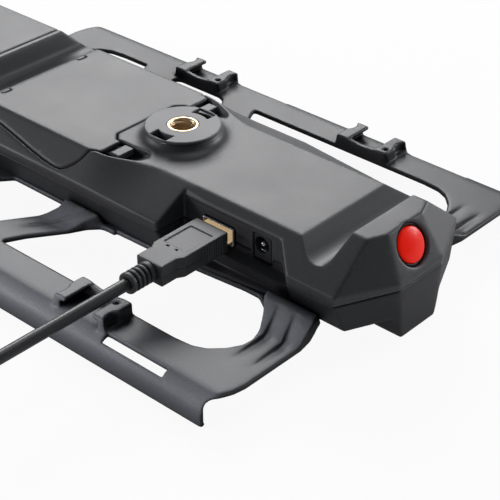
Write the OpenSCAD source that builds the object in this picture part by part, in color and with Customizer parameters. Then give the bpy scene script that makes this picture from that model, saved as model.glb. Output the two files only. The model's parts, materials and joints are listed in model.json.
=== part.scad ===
// Tablet camera-control dock: a cradle frame for a slate tablet with an
// electronics spine across its back, seen lying on the tablet side.
// Origin: centre of the threaded hole at the mounting face. +X runs along the
// spine to the badge end, +Z out of the back. Millimetres.

/* [Tablet] */
// Length of the tablet that the cradle holds
tablet_l = 240; // [234:0.5:242]
// Width of the tablet between the two lips
tablet_w = 169.5; // [167:0.5:170.5]
// Height of the pocket under the cradle plate
tablet_gap = 8.6; // [7.6:0.1:9]

/* [Mount] */
// Radius of the round mounting face
hub_r = 14.5; // [13.5:0.1:16]
// Height of the mounting face above the back of the spine
hub_rise = 5.1; // [4.6:0.1:5.6]
// Minor radius of the 3/8 inch camera thread
thread_r = 3.97; // [3.9:0.01:4.1]
// Depth of the threaded hole
thread_l = 9; // [8:0.5:9.5]

/* [Spine] */
// Half width of the flat back over the battery bay
left_top = 30; // [29:0.5:31]
// Half width of the flat back over the electronics
right_top = 22.6; // [22:0.1:23]
// Half width of the widest line over the battery bay
left_wide = 40; // [39.5:0.1:40.5]
// Half width of the widest line at the badge end
right_wide = 34.1; // [33.9:0.1:34.3]
// Wall thickness of the shells
wall = 2.2; // [1.8:0.1:2.4]

/* [Frame] */
// Thickness of the cradle plate
plate_t = 2.2; // [2:0.1:2.4]
// Distance from the spine centre line to a rail's inner edge
rail_in = 68.3; // [68:0.1:69]

/* [Motion] */
// Radius of a guide rod
rod_r = 2.5; // [2.3:0.1:2.6]

/* [Hidden] */
// heights
back_z = -hub_rise;                       // back of the spine
wide_z = -14.5;                           // widest line
seam_z = -18.1;                           // seam between the shells
under_z = -29.5;                          // underside of the shells
plate_top = -29.7;                        // top of the cradle plate
plate_under = plate_top - plate_t;        // underside of the cradle plate
lip_z = plate_under - tablet_gap - 1;     // lower edge of the lips
toe_z = -38.5;                            // lower end of the toes
// places along the spine
tablet_x = 98.5;                          // tablet end at the connector
rest_x = tablet_x - tablet_l;             // tablet end at the sliding end
split_x = -96.5;                          // joint line of the sliding end
door_left = -79.1;                        // edges of the battery door
door_right = -14.45;
lip_out = 87.1;                           // faces of a lip, from the centre line
lip_in = 85.3;
// battery door hinge
hinge_x = door_left + 1.2;
hinge_z = back_z - 1.26;
hinge_y = 20;                             // knuckle centres, either side
hinge_pin_r = 0.6;
// ports
port_y = -26.3;                           // front of the USB receptacle
usb_x = 42.75;
usb_z = -16.35;
jack_x = 62.6;
jack_z = -13.9;
// guide rods
rod_y = 27.5;
rod_z = -19.5;
rod_depth = 12;                           // length held in the lower shell
bush_r = 4.2;
$fn = 48;

cover_grey = [0.27, 0.27, 0.28];
shell_grey = [0.2, 0.2, 0.21];
frame_grey = [0.3, 0.3, 0.31];
screw_grey = [0.35, 0.35, 0.36];
black = [0.1, 0.1, 0.1];
deep_black = [0.08, 0.08, 0.08];
board_green = [0.05, 0.3, 0.18];
port_metal = [0.85, 0.85, 0.87];
contact_metal = [0.8, 0.8, 0.82];

// screw bosses in the shells: x, y, height above the seam
bosses = [[-8, 32, 7.5], [-8, -32, 7.5], [60, 22, 11.5], [86, -26, 7.4], [86, 26, 7.4],
          [17.5, -29, 8.3], [17.5, 29, 8.3]];
// screws that hold the cradle frame: x, y
frame_points = [[-70, 20], [-70, -20], [-20, 26], [-20, -26],
                [40, 24], [40, -24], [74, 12], [74, -12]];

// ---------- helpers ----------
// outlines mirrored in x about mid, or in y, in reverse order so they join up
function flip_x(points, mid = 0) =
    [for (i = [len(points) - 1 : -1 : 0]) [2 * mid - points[i][0], points[i][1]]];
function flip_y(points) =
    [for (i = [len(points) - 1 : -1 : 0]) [points[i][0], -points[i][1]]];
function on_side(point, side) = [point[0], side * point[1], point[2]];
function ease(from, to, x) =
    let (share = min(1, max(0, (x - from) / (to - from))))
    share * share * (3 - 2 * share);

// fills everything beyond the plane through a, b and c, seen from inside the spine
module beyond(a, b, c) {
    inside = [0, 0, -15];
    across = cross(b - a, c - a);
    normal = across * (inside - a) > 0 ? -across : across;
    translate(a)
        rotate([0, acos(normal[2] / norm(normal)), atan2(normal[1], normal[0])])
            translate([-160, -160, 0]) cube([320, 320, 160]);
}
// the same with points given for +Y, on the chosen side
module facet_cut(a, b, c, side)
    beyond(on_side(a, side), on_side(b, side), on_side(c, side));

module along_x(x0, x1)
    translate([x0, 0, 0]) rotate([90, 0, 90]) linear_extrude(x1 - x0) children();
module along_y(y0, y1)
    translate([0, y1, 0]) rotate([90, 0, 0]) linear_extrude(y1 - y0) children();
module rod_along_x(x0, x1, y, z, r)
    translate([x0, y, z]) rotate([0, 90, 0]) cylinder(h = x1 - x0, r = r);
module rod_along_y(y0, y1, x, z, r)
    translate([x, y1, z]) rotate([90, 0, 0]) cylinder(h = y1 - y0, r = r);
// box centred on the USB axis in x and z, starting at y
module usb_box(y, size)
    translate([usb_x - size[0] / 2, y, usb_z - size[2] / 2]) cube(size);
module usb_rod(y0, y1, r) rod_along_y(y0, y1, usb_x, usb_z, r);

// ---------- outline of the spine ----------
back_from = -18;                // the back starts to narrow
back_to = 15;                   // the back has narrowed
low_from = 26;                  // the lower line starts to narrow
low_to = 81;                    // and has narrowed
left_low = left_wide - 5;       // half widths of the underside
right_low = right_wide - 4.6;
// how far the inner skin moves for each mm of wall
top_inset = 0.6;
side_inset = 1.1;

// side view: end ridges, tips and the groove inside each ridge
tip_z = -15.6;
badge_tip = 111.2;
slide_tip = -154.1;
badge_ridge = 103.2;
slide_ridge = -146;
groove = [[83.4, -8.7], [85.3, -9.4], [87.4, -9.7], [89.4, -9.6], [91, -8.9], [92, -7.6],
          [93.7, 0]];
// corners of the end facets for +Y: ridge, widest line, tip, toe
toe_half = 9.4;
badge_corners = [[badge_ridge, 9.3, 0], [101, right_wide, wide_z],
                 [badge_tip, 12, tip_z], [badge_tip, toe_half, toe_z]];
slide_corners = [[slide_ridge, 13, 0], [-142, left_wide, wide_z],
                 [slide_tip, 15, tip_z], [slide_tip, toe_half, toe_z]];

// half width of the back along the spine
function back_half(x) = left_top + (right_top - left_top) * ease(back_from, 14.5, x);

// Section of the spine; t insets it for the inner skin. The facet below
// the back is carried on up to z = 0, where the end ridges need it.
module section(top, wide, low, t) {
    slope = (wide - top) / (back_z - wide_z);
    side = wide - side_inset * t;
    half = [[top - slope * hub_rise - top_inset * t, -t], [side, wide_z - 0.3 * t],
            [side, seam_z], [low - side_inset * t, under_z + t]];
    polygon(concat(half, flip_x(half)));
}

// the four lengths of the spine, open ended
module runs(t) {
    difference() {
        along_x(-160, back_to) section(left_top, left_wide, left_low, t);
        for (s = [-1, 1])
            translate([0, -s * side_inset * t, -top_inset * t])
                facet_cut([back_from, left_top, back_z], [back_to, right_top, back_z],
                          [back_to, left_wide, wide_z], s);
    }
    along_x(back_to, low_from) section(right_top, left_wide, left_low, t);
    difference() {
        along_x(low_from, low_to) section(right_top, left_wide, left_low, t);
        for (s = [-1, 1]) translate([0, -s * side_inset * t, 0]) {
            translate([0, 0, -0.55 * t])
                facet_cut([low_from, right_top, back_z], [low_from, left_wide, wide_z],
                          [low_to, right_wide, wide_z], s);
            facet_cut([low_from, left_wide, wide_z], [low_from, left_wide, seam_z],
                      [low_to, right_wide, wide_z], s);
            facet_cut([low_from, left_wide, seam_z], [low_from, left_low, under_z],
                      [low_to, right_wide, seam_z], s);
        }
    }
    along_x(low_from, 120) section(right_top, right_wide, right_low, t);
}

module profile_out() polygon(concat(
    [[slide_tip, -60], [slide_tip, tip_z], [slide_ridge, 0]],
    flip_x(groove),
    [[door_left, back_z], [77.5, back_z]],
    groove,
    [[badge_ridge, 0], [badge_tip, tip_z], [badge_tip, -60]]));
module profile_in(t) polygon([
    [-151.4, under_z + t], [-151.4, -16], [-144.8, -t], [-95.6, -t], [-93.8, -10.2],
    [-89, -11.9], [-82.5, -11], [-78.5, back_z - t], [76.3, back_z - t], [82.5, -11],
    [88, -11.9], [93.4, -10.6], [95.6, -t], [101.8, -t], [108.5, -16], [108.8, -29],
    [108.8, under_z + t]]);

// cuts away a corner of an end above or below the line from widest point to tip
module upper_facet(corners, side) facet_cut(corners[0], corners[1], corners[2], side);
module lower_facet(corners, side) facet_cut(corners[2], corners[1], corners[3], side);

// whole spine, ends included; t = 0 is the outside, t = wall the inside
module spine(t) difference() {
    intersection() {
        runs(t);
        along_y(-50, 50)
            if (t == 0) profile_out();
            else profile_in(t);
    }
    for (s = [-1, 1]) {
        translate([-t, -s * t, 0]) {
            upper_facet(badge_corners, s);
            lower_facet(badge_corners, s);
        }
        translate([t, -s * t, 0]) {
            upper_facet(slide_corners, s);
            lower_facet(slide_corners, s);
        }
    }
}

// block hanging below an end from x0 to x1, faceted to match it
module toe(x0, x1, half, overlap, corners) difference() {
    translate([x0, -half, toe_z]) cube([x1 - x0, 2 * half, under_z - toe_z + overlap]);
    for (s = [-1, 1]) {
        lower_facet(corners, s);
        facet_cut([x0, half - 0.2, under_z], [x0, toe_half, toe_z],
                  [x1, half - 0.2, under_z], s);
    }
}

module above_seam() translate([-200, -100, seam_z]) cube([400, 200, 60]);

// ---------- openings in the spine ----------
// near half of the door outline: x, y, and how each moves as the outline grows
door_edge = [
    [door_left, -30.3, -1, -1], [-72, -33.1, 0, -1], [-60, -34.5, 0, -1],
    [-52.3, -35.5, 0, -1], [-44.4, -36.6, 0, -1], [-37, -37.5, 0, -1],
    [-32.4, -37.9, 0, -1], [-29.2, -38.1, 0, -1], [-26.6, -37.8, 1, -1],
    [-24.3, -36.7, 1, -1], [-22.2, -35.2, 1, -1], [-20.3, -33.5, 1, 0],
    [-19.3, -31.9, 1, 0], [-18.9, -30.2, 1, -1], [door_right, -28, 1, -1]];

// battery door seen from above
module door_outline(grow) {
    edge = [for (p = door_edge) [p[0] + p[2] * grow, p[1] + p[3] * grow]];
    tongue_x = -19.8 + grow;
    tongue_half = 18.2 - grow;
    difference() {
        polygon(concat(edge, flip_y(edge)));
        // tongue of the cover around the hub, corners chamfered
        difference() {
            translate([tongue_x, -tongue_half]) square([30, 2 * tongue_half]);
            for (s = [-1, 1])
                translate([tongue_x, s * tongue_half])
                    rotate(45) square([4.4, 4.4], center = true);
        }
    }
}

// port bay on the near (-Y) side; t grows it
module port_bay(t) {
    bay_x = 25.5 - t;
    bay_y = -26 + t;
    bay_z = -20.5 - t;
    translate([0, 0, bay_z]) linear_extrude(30)
        polygon([[bay_x, bay_y], [71.1 + 0.6 * t, bay_y],
                 [80.8 + 0.8 * t, -34.4 + 0.8 * t], [81 + t, -60], [bay_x, -60]]);
    along_x(bay_x, 80 + t)
        polygon([[-60, -17], [bay_y, -17], [bay_y, bay_z], [-29.5 + t, -22.5],
                 [-29.5 + t, -27.3 - t], [-60, -27.3 - t]]);
}

// openings for the USB receptacle and the power jack
module port_openings() {
    usb_box(-30, [14.6, 10, 7.2]);
    translate([58.2, -30, -20.6]) cube([8.8, 10, 10.3]);
}

// finger pockets beside the door latches: side, inner half width
pockets = [[-1, 17.6], [1, 20.6]];
pocket_x = -14.9;
tub_z = -11.5;
module pocket_outline(side, inner, grow) {
    outer = [for (x = [pocket_x, -11, -8, -5, -2, 0]) [x, back_half(x) - 1 + grow]];
    end = [[1.6 + grow, back_half(1.6) - 2.2 + grow], [2.4 + grow, (inner + 22) / 2],
           [0, inner - grow], [pocket_x, inner - grow]];
    polygon([for (p = concat(outer, end)) [p[0], side * p[1]]]);
}
module latch_pocket(side, inner) intersection() {
    along_y(-50, 50) polygon([[-15.2, -10], [-7.5, -10], [-4.5, -8.8],
                              [2.7, back_z - 0.1], [2.7, 3], [-15.2, 3]]);
    translate([0, 0, -30]) linear_extrude(40) pocket_outline(side, inner, 0);
}
module pocket_tub(side, inner)
    translate([0, 0, tub_z]) linear_extrude(back_z - tub_z - 1)
        pocket_outline(side, inner, 0.95);

// ---------- door hinge ----------
module hinge_rods(half_l, r) for (s = [-1, 1])
    rod_along_y(s * hinge_y - half_l, s * hinge_y + half_l, hinge_x, hinge_z, r);
module hinge_knuckles() {
    hinge_rods(2, 1.15);
    for (s = [-1, 1])
        translate([door_left - 2, s * hinge_y - 2, hinge_z - 2.6]) cube([2.1, 4, 3]);
}

// ---------- spine shells ----------
disc_z = -1.4;          // underside of the mounting disc
neck_foot = 19.4;       // foot radius of the hub's flared neck
bore_r = 8.2;           // hub bore for the insert and its bracket
slot_in = 9.7;          // inner radius of the slots in the disc
boss_r = 2.6;

// block that a slot of the mounting disc is cut from
module slot_block(side, z, h) translate([-4.1, side * 11.1 - 2.4, z]) cube([8.2, 4.8, h]);

// hollow skin of both shells with the walled port bay
module shell_skin() difference() {
    spine(0);
    difference() {
        spine(wall);
        port_bay(wall);
    }
    port_bay(0);
}

module hub_neck() {
    flare = [for (a = [80 : -16 : 0])
        [neck_foot - 5.4 * cos(a), back_z + 3.7 - 3.7 * sin(a)]];
    rotate_extrude()
        polygon(concat([[bore_r, back_z - 2], [neck_foot, back_z - 2], [neck_foot, back_z]],
                       flare, [[bore_r, disc_z]]));
}

module rear_cover() color(cover_grey) difference() {
    union() {
        shell_skin();
        hub_neck();
        for (p = pockets) pocket_tub(p[0], p[1]);
        hinge_knuckles();
        for (p = bosses) translate([p[0], p[1], seam_z]) cylinder(h = p[2], r = boss_r);
    }
    // everything below the seam and beyond the joint line
    translate([-200, -100, -60]) cube([400, 200, 60 + seam_z]);
    translate([-200, -100, -60]) cube([200 + split_x, 200, 80]);
    // battery door opening, open below into the bay
    difference() {
        translate([0, 0, -14.2]) linear_extrude(20) door_outline(0.25);
        hinge_knuckles();
    }
    for (p = pockets) latch_pocket(p[0], p[1]);
    // wells below the slots of the mounting disc
    for (s = [-1, 1]) difference() {
        intersection() {
            slot_block(s, -5.6, 6);
            translate([0, 0, -5.6]) cylinder(h = 8, r = 13.1);
        }
        translate([0, 0, -6]) cylinder(h = 8, r = slot_in);
    }
    translate([0, 0, back_z - 5]) cylinder(h = 9, r = bore_r);
    hinge_rods(3, 0.66);
    port_openings();
    badge_axis() translate([0, 0, -10]) cylinder(h = 20, r = 7.55);
    for (p = bosses) translate([p[0], p[1], seam_z - 1]) cylinder(h = 5.6, r = 1.05);
}

module lower_shell() color(shell_grey) difference() {
    socket_l = rod_depth + 1;
    union() {
        intersection() {
            shell_skin();
            translate([split_x, -100, under_z - 5]) cube([300, 200, seam_z - under_z + 5]);
        }
        // toe that holds the tablet connector
        toe(tablet_x + 0.4, badge_tip, 12.6, 1, badge_corners);
        for (p = bosses)
            translate([p[0], p[1], under_z]) cylinder(h = seam_z - under_z, r = boss_r);
        for (p = frame_points) translate([p[0], p[1], under_z]) cylinder(h = 4, r = 2.4);
        // sockets that hold the guide rods
        for (s = [-1, 1]) {
            rod_along_x(split_x, split_x + socket_l, s * rod_y, rod_z, 4.6);
            translate([split_x, s * rod_y - 2, under_z + 1]) cube([socket_l, 4, 8]);
        }
    }
    above_seam();
    for (p = bosses) translate([p[0], p[1], under_z - 1]) {
        cylinder(h = 30, r = 1.35);
        cylinder(h = 3, r = 2.3);
    }
    for (p = frame_points) translate([p[0], p[1], under_z - 1]) cylinder(h = 4, r = 1.05);
    for (s = [-1, 1])
        rod_along_x(split_x - 1, split_x + rod_depth, s * rod_y, rod_z, rod_r);
    // connector cavity in the toe
    translate([tablet_x, -6, -37.6]) cube([8, 12, 4.6]);
    translate([tablet_x + 3.5, -6, -37.6]) cube([4.5, 12, 12]);
    port_openings();
}

// ---------- mount ----------
insert_r = 5.2;
module mount_disc() color([0.45, 0.45, 0.46]) difference() {
    rotate_extrude($fn = 96)
        polygon([[5.9, disc_z], [5.9, 0], [hub_r - 0.35, 0], [hub_r, -0.35],
                 [hub_r, -0.9], [hub_r - 0.5, disc_z]]);
    for (s = [-1, 1]) difference() {
        slot_block(s, -2, 4);
        translate([0, 0, -3]) cylinder(h = 6, r = slot_in);
    }
}

module threaded_insert() color([0.83, 0.66, 0.4]) difference() {
    rotate_extrude($fn = 96)
        polygon([[0, -thread_l], [insert_r, -thread_l], [insert_r, -1.6], [5.85, -1.5],
                 [5.85, -0.25], [5.6, 0], [0, 0]]);
    translate([0, 0, -thread_l - 1]) cylinder(h = thread_l + 2, r = thread_r);
}

module mount_bracket() color([0.7, 0.7, 0.72]) difference() {
    union() {
        translate([0, 0, -9]) cylinder(h = 7.4, r = 8.1);
        translate([-11, -15.5, -12]) cube([25, 31, 3]);
    }
    translate([0, 0, -13]) cylinder(h = 15, r = insert_r);
    for (s = [-1, 1]) translate([10.5, s * 12, -13]) cylinder(h = 6, r = 1.6);
}

// ---------- battery bay ----------
module battery_door() color(frame_grey) difference() {
    union() {
        intersection() {
            difference() {
                spine(0);
                spine(1.8);
            }
            translate([hinge_x, -60, -14]) cube([100, 120, 20]);
            translate([0, 0, -30]) linear_extrude(40) door_outline(0);
        }
        // hinge barrels between the knuckles
        for (y = [[-29.6, -22.2], [-17.8, 17.8], [22.2, 29.6]])
            rod_along_y(y[0], y[1], hinge_x, hinge_z, 1.2);
    }
    for (s = [-1, 1])
        translate([hinge_x - 3, s * hinge_y - 2.2, hinge_z - 3]) cube([4.4, 4.4, 6]);
    hinge_rods(5, hinge_pin_r);
}
module door_hinge_pins() color([0.75, 0.75, 0.77]) hinge_rods(5, hinge_pin_r);

// finger block and thin tab of a latch, from y0 to y1
module latch(y0, y1) color([0.5, 0.5, 0.52]) {
    translate([-12.1, y0, back_z - 3.4]) cube([4.4, y1 - y0, 2.7]);
    translate([-17.5, y0 + 0.6, back_z - 3.3]) cube([6, y1 - y0 - 1.2, 1]);
}
module door_latch_near() latch(-25.6, -18.1);
module door_latch_far() latch(20.9, 26.8);

cell_r = 7.1;
cell_z = -15.7;
cell_pitch = 15.2;
cell_x0 = -72.2;        // ends of the cell bodies
cell_x1 = -23.4;
channel_r = 7.35;
channel_x = -74.6;

module battery_tray() color([0.13, 0.13, 0.13]) difference() {
    translate([-76, -24.4, -25.4]) cube([56.4, 48.8, 11.2]);
    for (i = [-1, 0, 1]) {
        y = i * cell_pitch;
        rod_along_x(channel_x, -21, y, cell_z, channel_r);
        translate([channel_x, y - channel_r, cell_z]) cube([53.6, 2 * channel_r, 12]);
        // room for the contacts at both ends
        translate([-75.4, y - 4.2, cell_z - 4.2]) cube([55.2, 8.4, 20]);
    }
}
// the middle cell lies the other way round
module battery_cells() for (i = [-1, 0, 1]) {
    y = i * cell_pitch;
    cap_x = i == 0 ? cell_x0 - 1 : cell_x1;
    color([0.2, 0.22, 0.25]) rod_along_x(cell_x0, cell_x1, y, cell_z, cell_r);
    color([0.8, 0.8, 0.8]) rod_along_x(cap_x, cap_x + 1, y, cell_z, 2.7);
}
module contact_springs() color(contact_metal) for (i = [-1, 0, 1]) {
    x = i == 0 ? -22.7 : -73.4;
    step = i == 0 ? 0.62 : -0.62;
    for (k = [0, 1, 2])
        translate([x + step * (k - 0.5), i * cell_pitch, cell_z]) rotate([0, 90, 0])
            rotate_extrude() translate([2.2 + 0.5 * k, 0]) circle(r = 0.32, $fn = 16);
}
module contact_plates() color(contact_metal) for (i = [-1, 0, 1])
    translate([i == 0 ? -75.2 : -20.9, i * cell_pitch - 4, cell_z - 4]) cube([0.4, 8, 8]);

// ---------- sliding end ----------
module bush_bores() for (s = [-1, 1])
    rod_along_x(-151, split_x + 1, s * rod_y, rod_z, bush_r);

module end_shell() difference() {
    spine(0);
    difference() {
        spine(wall);
        translate([split_x - 2.6, -60, -40]) cube([300, 120, 60]);
    }
    translate([split_x - 0.3, -60, -60]) cube([400, 120, 80]);
    bush_bores();
}
module sliding_end_cover() color(cover_grey) intersection() {
    end_shell();
    above_seam();
}
module sliding_end_base() color(shell_grey) difference() {
    union() {
        intersection() {
            end_shell();
            translate([-200, -60, under_z - 5]) cube([200, 120, seam_z - under_z + 5]);
        }
        // toe over the end of the tablet
        toe(slide_tip, rest_x - 0.4, 14.6, 1.5, slide_corners);
        // saddles for the guide bushes
        difference() {
            for (s = [-1, 1])
                translate([-121, s * rod_y - 6, under_z + 0.5]) cube([21, 12, 11.2]);
            bush_bores();
        }
    }
    above_seam();
}
module guide_bushes() color([0.75, 0.6, 0.35]) for (s = [-1, 1]) difference() {
    rod_along_x(-120, split_x - 0.8, s * rod_y, rod_z, bush_r);
    rod_along_x(-152, split_x + 2, s * rod_y, rod_z, rod_r + 0.05);
}
module guide_rods() color([0.75, 0.75, 0.78]) for (s = [-1, 1])
    rod_along_x(-118, split_x + rod_depth, s * rod_y, rod_z, rod_r);

// ---------- cradle ----------
// Outlines are seen from above, for the +Y half. The two ends of the frame
// mirror each other about frame_mid.
frame_mid = -21;
frame_end = 96.9;
// rounded corner of the rail
rail_corner = [[frame_end, 72], [96.1, 76.6], [94.3, 80.7], [92.6, 83.2], [91.5, 85],
               [91.5, 95]];
// end of the plate
plate_end = [[frame_end, 70], [frame_end, 45], [95.8, 39], [93.8, 34], [89.8, 27.3],
             [90, 0]];
// outer corner of an end window
window_corner = [[69.4, 67.6], [74, 65.6], [78.5, 61.2], [81.2, 56.5], [81.6, 52],
                 [79.8, 46.5], [76.6, 41]];
windows = [
    concat([[-26, rail_in], [62, rail_in]], window_corner,
           [[72, 35.5], [66.5, 32], [60, 31.9], [24, 35.3], [-1, 36.1], [-6.5, 37.8],
            [-10, 41.5], [-13.1, 47.6], [-22, 60.4]]),
    [[-26.6, 35.6], [-24.9, 41.2], [-37.3, 59.7], [-43, rail_in - 1.5], [-46.5, rail_in],
     [-69, rail_in], [-71, 66.5], [-66.5, 52], [-61, 40], [-57.3, 35.6]],
    concat([[-80, 41], [-81, 37], [-86, 35.6], [-108.5, 35.6], [-114, 36.5]],
           flip_x(window_corner, frame_mid), [[-104, rail_in], [-90, rail_in]])];
// arm roots: inner points of the ramp (y, z), then the plan of the root (x, y)
end_ramp = [[30.3, plate_top - 0.3], [32.3, -24.9], [36, -25.1]];
end_root = [[70, 30], [93.2, 30], [95.8, 39], [frame_end, 45], [frame_end, 50], [82, 50],
            [79.8, 46.5], [76.6, 41], [72, 35.5]];
mid_ramp = [[35.3, plate_top - 0.3], [37.3, -25]];
mid_root = [[-26, 30], [-2, 30], [-7.5, 38.2], [-10, 41.5], [-14, 50], [-31, 50],
            [-25, 41.2]];

// rail and bent lip: y, z
module rail_section() polygon([
    [rail_in, plate_under], [rail_in, plate_top], [81.1, plate_top], [82, plate_top - 0.3],
    [83.1, plate_top - 0.95], [84.2, plate_top - 1.75], [85, plate_top - 2.45],
    [85.8, plate_top - 3.35], [86.4, plate_top - 4.3], [86.8, plate_top - 5.4],
    [lip_out, plate_top - 6.8], [lip_out, lip_z], [84.5, lip_z], [84.5, lip_z + 0.8],
    [lip_in, lip_z + 1.2], [lip_in, plate_under - 3], [85, plate_under - 1.9],
    [84.4, plate_under - 1.1], [83.5, plate_under - 0.4], [82.4, plate_under]]);

// raised bracket on the rail, open towards the lip
module clip(x) translate([x, 0, 0]) difference() {
    clip_y = 68.6;
    clip_z = plate_top - 0.1;
    union() {
        translate([-12.5, clip_y, clip_z]) cube([25, 2.2, 4.5]);
        for (s = [-1, 1]) {
            translate([s * 9.8 - 2.7, clip_y, clip_z]) cube([5.4, 13.8, 4.5]);
            translate([s * 8.8 - 3.7, clip_y, clip_z + 3]) cube([7.4, 13.8, 1.5]);
        }
    }
    translate([10.4, 71.8, plate_top + 1]) cylinder(h = 6, r = 0.9);
}

// ramp from the plate up to the underside of the spine
module arm_root(x0, x1, ramp, plan) intersection() {
    along_x(x0, x1)
        polygon(concat(ramp, [[40.5, -26.4], [45.5, -28.9], [49, plate_top - 0.3]]));
    translate([0, 0, -60]) linear_extrude(60) polygon(plan);
}

module frame_side() difference() {
    union() {
        intersection() {
            along_x(-139, frame_end) rail_section();
            translate([0, 0, -60]) linear_extrude(60)
                polygon(concat([[-140, 60], [100, 60]], rail_corner,
                               flip_x(rail_corner, frame_mid)));
        }
        translate([0, 0, plate_under]) linear_extrude(plate_t) {
            polygon(concat(flip_x(plate_end, frame_mid), plate_end));
            polygon([[80, 0], [97, 0], [97, 20], [80, 28]]);
        }
        arm_root(60, 97, end_ramp, end_root);
        arm_root(-40, 10, mid_ramp, mid_root);
        clip(30.4);
        clip(-60);
    }
    translate([0, 0, plate_under - 1]) linear_extrude(20)
        for (outline = windows) polygon(outline);
    // strap slots beside the lip bend
    for (x = [44, -48]) {
        translate([x, 81.6, plate_under - 2.4]) cube([28.2, 2.9, 8]);
        translate([x, 81.6, plate_under]) cube([28.2, 12, 6]);
    }
}
module cradle_frame() color(frame_grey) difference() {
    union() {
        frame_side();
        mirror([0, 1, 0]) frame_side();
    }
    for (p = frame_points) translate([p[0], p[1], plate_under - 1]) {
        cylinder(h = 6, r = 1.1);
        cylinder(h = 2.4, r = 1.65);
    }
    for (p = bosses) translate([p[0], p[1], plate_under - 1]) cylinder(h = 6, r = 2.4);
}

module lip_pads() color(black) {
    pad_y = tablet_w / 2 + 0.15;
    for (m = [0, 1]) mirror([0, m, 0])
        for (x = [-110, 48])
            translate([x, pad_y, lip_z + 1.9]) cube([34, lip_in - pad_y, tablet_gap - 4.4]);
}
module back_pads() color(black) for (s = [-1, 1]) for (x = [-100, 30])
    translate([x, s * 75 - 4, plate_under - 0.3]) cube([40, 8, 0.3]);

// screw standing head down, its head at z
module screw(point, z, length, head_r) translate([point[0], point[1], z]) {
    difference() {
        cylinder(h = 1.3, r = head_r);
        translate([0, 0, -0.1]) cylinder(h = 0.9, r = 0.9, $fn = 6);
    }
    cylinder(h = length, r = 1.05);
}
module shell_screws() color(screw_grey) for (p = bosses) screw(p, under_z + 0.6, 15.3, 2.1);
module frame_screws() color(screw_grey)
    for (p = frame_points) screw(p, plate_under, 5.1, 1.55);

// ---------- badge ----------
module badge_axis() translate([106.7, 0, -7]) rotate([0, 63.4, 0]) children();
module badge() color([0.8, 0.05, 0.03]) badge_axis() difference() {
    dome = [for (a = [14 : -2 : 2]) [25 * sin(a), -24.45 + 25 * cos(a)]];
    rotate_extrude()
        polygon(concat([[0, -1.6], [6.3, -1.6], [6.3, -0.5]], dome, [[0, 0.55]]));
    translate([0, 0, -9]) cylinder(h = 5, r = 2);
}
module badge_bezel() color(deep_black) badge_axis() difference() {
    translate([0, 0, -4.6]) cylinder(h = 3.7, r = 7.5);
    translate([0, 0, -1.6]) cylinder(h = 6, r = 6.35);
}

// ---------- electronics ----------
board_top = -20.6;
module main_board() color(board_green) difference() {
    translate([2, -23.4, board_top - 1.6]) cube([74, 44, 1.6]);
    // notch around a screw boss
    translate([60, 22, -24]) cylinder(h = 6, r = 3.2);
    for (p = [[6, 17], [72, -19], [6, -19]])
        translate([p[0], p[1], -24]) cylinder(h = 6, r = 1.1);
}
// chips: corner on the board, size
chips = [[[16, -4], [12, 12, 1.4]], [[36, 4], [8, 8, 1.2]], [[54, 2], [9, 6, 1.2]]];
module control_chips() color(black)
    for (c = chips) translate([c[0][0], c[0][1], board_top]) cube(c[1]);

module usb_receptacle() color(port_metal) difference() {
    union() {
        usb_box(port_y, [13.2, 14.3, 5.7]);
        usb_box(port_y, [14.3, 0.5, 6.8]);
        // legs down to the board
        for (s = [-1, 1])
            translate([usb_x + s * 6.4 - 0.2, -20, board_top]) cube([0.4, 2, 3]);
    }
    usb_box(port_y - 1, [12.5, 15, 5]);
}
module usb_tongue() color([0.85, 0.85, 0.8]) {
    translate([usb_x - 5.5, port_y + 1.5, usb_z + 0.15]) cube([11, 12.5, 1.7]);
    usb_box(port_y + 12.2, [12.4, 1.7, 4.9]);
}

jack_end = port_y + 9.5;    // inner end of the jack's bore
module power_jack() color(deep_black) difference() {
    translate([59.15, port_y + 0.15, -19.85]) cube([7.75, 12, 9.5]);
    rod_along_y(-30, jack_end, jack_x, jack_z, 3.1);
}
module power_pin() color(port_metal) {
    pin_r = 0.95;
    rod_along_y(port_y + 1.4, jack_end, jack_x, jack_z, pin_r);
    translate([jack_x, port_y + 1.4, jack_z]) sphere(r = pin_r);
}
module power_spring() color(port_metal)
    translate([jack_x - 1.1, port_y + 1.2, jack_z - 2.9]) cube([2.2, 8.2, 0.5]);

dock_z = -37.2;
module connector_board() color(board_green)
    translate([tablet_x + 6.2, -5, dock_z]) cube([1.2, 10, 11]);
module dock_connector() color(black)
    translate([tablet_x + 0.4, -5, dock_z]) cube([5.6, 10, 3.8]);
module dock_tip() color([0.8, 0.78, 0.7])
    translate([tablet_x - 6.7, -3.3, -36.05]) cube([7.1, 6.6, 1.5]);
module connector_flex() color([0.75, 0.5, 0.1]) {
    flex_z = -24.6;
    translate([80, -4, flex_z]) cube([25.4, 8, 0.3]);
    translate([tablet_x + 6.3, -4, -26.2]) cube([0.3, 8, 1.7]);
    translate([75.5, -4, flex_z]) cube([5, 8, 0.3]);
    translate([75.5, -4, flex_z]) cube([0.3, 8, 2.4]);
}

// ---------- USB cable ----------
grip_y = -31.4;         // plug end of the grip
grip_end = -60.6;       // cable end of the grip
core_y = -29.4;
cable_y = -66;          // where the cable enters the strain relief
cable_r = 2.2;
// half of the grip outline: x from the plug axis, y
grip_half = [[7.4, grip_y], [7.4, -51], [5.9, -53.6], [5.9, grip_end]];

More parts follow.
